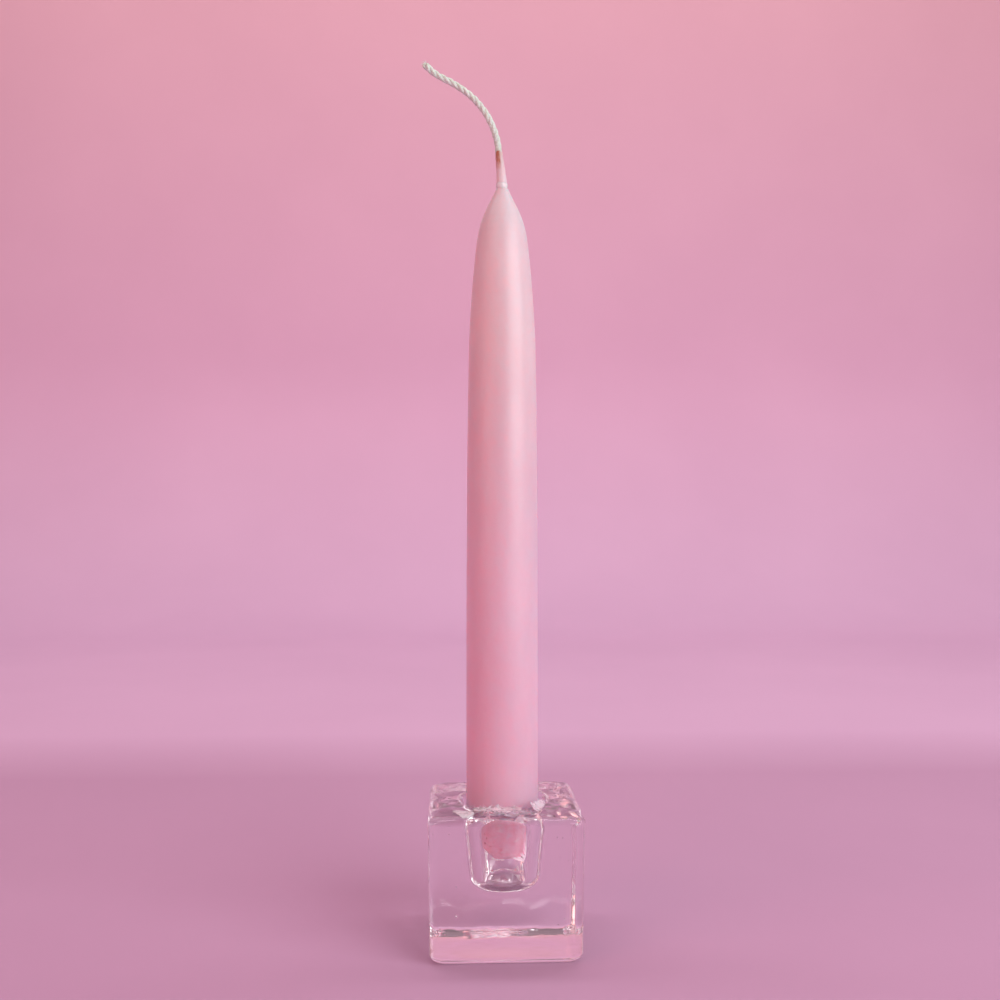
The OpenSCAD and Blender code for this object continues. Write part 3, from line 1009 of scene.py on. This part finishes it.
def sleeve_material():
    """Thin wax over cotton: pale rose, with a scorched orange-brown streak near the top."""
    shader = Shader("wax sleeve")
    top = SLEEVE_HIGH.z
    rise = shader.span(shader.axis("Z"), SLEEVE_LOW.z, top)
    rose = shader.ramp(rise, [
        (0.0, (0.82, 0.72, 0.73)), (0.55, (0.80, 0.62, 0.62)), (1.0, (0.78, 0.55, 0.50)),
    ])
    cloud = shader.noise(900, 4, 0.6, stretch=(1, 1, 0.4))
    stain_height = shader.span(shader.axis("Z"), top - 5.8 * MM, top - 3.2 * MM)
    leaning = shader.span(shader.axis("Z"), NECK_Z, top, 0.0, 1.1 * MM)
    across = shader.math("ADD", shader.axis("X"), leaning)
    stain_side = shader.span(across, AXIS_X + 0.45 * MM, AXIS_X - 0.05 * MM)
    ragged = shader.span(cloud, 0.30, 0.52, 0.35, 1.0)
    stain = shader.math("MULTIPLY", shader.math("MULTIPLY", stain_height, stain_side), ragged)
    colour = shader.mix(stain, rose, (0.50, 0.20, 0.11))
    shader.link(colour, shader.bsdf.inputs["Base Color"])
    shader.set(Subsurface_Weight=0.6, Subsurface_Radius=(1.0, 0.6, 0.5), Subsurface_Scale=0.0012, IOR=1.44)
    shader.link(shader.span(cloud, 0.3, 0.7, 0.3, 0.5), shader.bsdf.inputs["Roughness"])
    shader.bump(shader.noise(1400, 3, 0.5), 0.35, 0.0002)
    return shader.material


def cotton_material():
    """Off-white waxed cotton with a greenish cast and darker specks."""
    shader = Shader("waxed cotton")
    strands = shader.noise(2600, 4, 0.6)
    dirt = shader.noise(300, 3, 0.6)
    colour = shader.ramp(strands, [
        (0.30, (0.48, 0.60, 0.42)), (0.5, (0.74, 0.93, 0.80)), (0.72, (0.84, 1.0, 0.94)),
    ])
    colour = shader.mix(shader.span(dirt, 0.5, 0.8, 0.0, 0.5), colour, (0.58, 0.70, 0.50))
    shader.link(colour, shader.bsdf.inputs["Base Color"])
    shader.set(
        Subsurface_Weight=0.25, Subsurface_Radius=(1.0, 0.9, 0.7), Subsurface_Scale=0.0005, Sheen_Weight=0.25,
    )
    shader.link(shader.span(strands, 0.3, 0.7, 0.6, 0.85), shader.bsdf.inputs["Roughness"])
    shader.bump(strands, 0.6, 0.0002)
    return shader.material


def glass_material():
    """Clear pressed glass with a faintly wavy skin."""
    shader = Shader("pressed glass")
    shader.set(
        Base_Color=(0.985, 0.99, 0.992, 1.0), Transmission_Weight=1.0, Roughness=0.0, IOR=1.52,
    )
    skin_wave = shader.math("ADD", shader.noise(55, 2, 0.5), shader.noise(160, 2, 0.5))
    shader.bump(skin_wave, 0.06, 0.0015)
    return shader.material


paint(glass, glass_material())
paint(coat, coat_material())
paint(foot, foot_material())
cotton = cotton_material()
for item in (wick, fibres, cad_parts["wick_core"]):
    paint(item, cotton)
paint(sleeve, sleeve_material())
white = pale_wax_material("white wax", (0.78, 0.80, 0.78), (0.86, 0.90, 0.87), 0.0)
# The slivers, shreds, flake and smear carry a painted glow that brightens them where they sit in shade
slivers = pale_wax_material("white wax slivers", (0.97, 0.80, 0.88), (1.0, 0.92, 0.96), 0.0, 0.25)
shreds = pale_wax_material("white wax shreds", (0.97, 0.77, 0.85), (1.0, 0.89, 0.94), 0.2, 0.08)
paint(bead, white)
cloudy = pale_wax_material("cloudy wax", (0.86, 0.80, 0.84), (0.96, 0.93, 0.97), 0.15)
thin = pale_wax_material("thin wax flake", (0.96, 0.78, 0.88), (1.0, 0.90, 0.97), 0.45, 0.06)
smear = pale_wax_material("thin wax smear", (0.93, 0.78, 0.88), (0.99, 0.90, 0.96), 0.85, 0.02)
clear = pale_wax_material("clear wax", (0.88, 0.82, 0.84), (0.95, 0.95, 0.95), 0.75)
for item, material in zip(scraps, (cloudy, thin, clear, shreds, slivers, slivers, smear)):
    paint(item, material)


# ---------------------------------------------------------------- floor and light

# The sweep lies this far below the block, because the renderer needs air between glass and floor
FLOOR_GAP = 0.03 * MM


def add_stage():
    """A pale sweep that curves up into the backdrop: its floor is tinted darker than the wall as painted
    shade, and turns paler behind the block.
    """
    wide, front, back, rise, bend = 1.8, -1.2, 1.0, 1.7, 0.3
    profile = [(front, 0.0), (back - bend, 0.0)]
    for a in np.linspace(0, math.pi / 2, 16)[1:]:
        profile.append((back - bend + bend * math.sin(a), bend * (1 - math.cos(a))))
    profile.append((back, rise))
    verts = [(x, y, z - FLOOR_GAP) for y, z in profile for x in (-wide, wide)]
    faces = [(2 * i, 2 * i + 1, 2 * i + 3, 2 * i + 2) for i in range(len(profile) - 1)]
    mesh = bpy.data.meshes.new("studio_sweep")
    mesh.from_pydata(verts, [], faces)
    mesh.polygons.foreach_set("use_smooth", [True] * len(mesh.polygons))
    sweep = bpy.data.objects.new("studio_sweep", mesh)
    bpy.context.scene.collection.objects.link(sweep)
    shader = Shader("pale pink paper")
    # From 0.20 m to 0.30 m behind the block the floor's tint turns into that of the wall's foot
    far = shader.math("MULTIPLY", shader.span(shader.axis("Y"), 0.20, 0.30), 0.09)
    height = shader.span(shader.math("ADD", shader.axis("Z"), far), 0.0, 0.9)
    # Painted shade: the floor is tinted darker than the wall, which is the same paper; the wall turns warmer
    # towards its top
    paper_tint_and_painted_shade = shader.ramp(height, [
        (0.0, (0.56, 0.34, 0.50)), (0.10, (0.71, 0.48, 0.67)),
        (0.35, (0.77, 0.48, 0.64)), (1.0, (0.71, 0.39, 0.44)),
    ])
    cloud = shader.span(shader.noise(6, 3, 0.5), 0.3, 0.7)
    mottle = shader.mix(cloud, (0.98, 0.97, 0.98), (1.02, 1.02, 1.02))
    shader.link(shader.mix(1.0, paper_tint_and_painted_shade, mottle, "MULTIPLY"), shader.bsdf.inputs["Base Color"])
    shader.set(Roughness=0.85)
    shader.bump(shader.noise(900, 3, 0.6), 0.08, 0.0004)
    paint(sweep, shader.material)


def add_light(name, at, aim, size, power, colour=(1, 1, 1)):
    data = bpy.data.lights.new(name, "AREA")
    data.shape = "RECTANGLE"
    data.size, data.size_y = size
    data.energy = power
    data.color = colour
    lamp = bpy.data.objects.new(name, data)
    lamp.location = at
    lamp.rotation_euler = (Vector(aim) - Vector(at)).to_track_quat("-Z", "Y").to_euler()
    bpy.context.scene.collection.objects.link(lamp)


def add_lights():
    world = bpy.data.worlds.new("soft studio")
    world.use_nodes = True
    tree = world.node_tree
    background = tree.nodes["Background"]
    background.inputs["Color"].default_value = (1.0, 0.66, 0.76, 1.0)
    split = tree.nodes.new("ShaderNodeSeparateXYZ")
    dimmer = tree.nodes.new("ShaderNodeMapRange")
    for key, number in (("From Min", -1.0), ("From Max", 0.5), ("To Min", 0.10), ("To Max", 0.55)):
        dimmer.inputs[key].default_value = number
    tree.links.new(tree.nodes.new("ShaderNodeTexCoord").outputs["Generated"], split.inputs[0])
    tree.links.new(split.outputs["Y"], dimmer.inputs["Value"])
    tree.links.new(dimmer.outputs["Result"], background.inputs["Strength"])
    bpy.context.scene.world = world
    middle = (0, 0, 0.12)
    add_light("window", (0.70, -0.68, 0.50), middle, (0.9, 0.8), 8.8, (1.0, 0.99, 1.0))
    add_light("pink_bounce", (-0.85, -0.70, 0.45), middle, (0.9, 0.9), 4.4, (1.0, 0.38, 0.36))
    add_light("wall_wash", (0, 0.3, 1.35), (0, 1.0, 0.4), (1.8, 0.3), 9.5, (1.0, 0.98, 0.98))


def set_light_paths():
    """Enough bounces for light that is thrown about inside the glass block."""
    cycles = bpy.context.scene.cycles
    cycles.max_bounces = 32
    cycles.transmission_bounces = 32
    cycles.glossy_bounces = 24
    cycles.diffuse_bounces = 4


add_stage()
add_lights()
set_light_paths()
bpy.context.scene.view_settings.view_transform = "Standard"
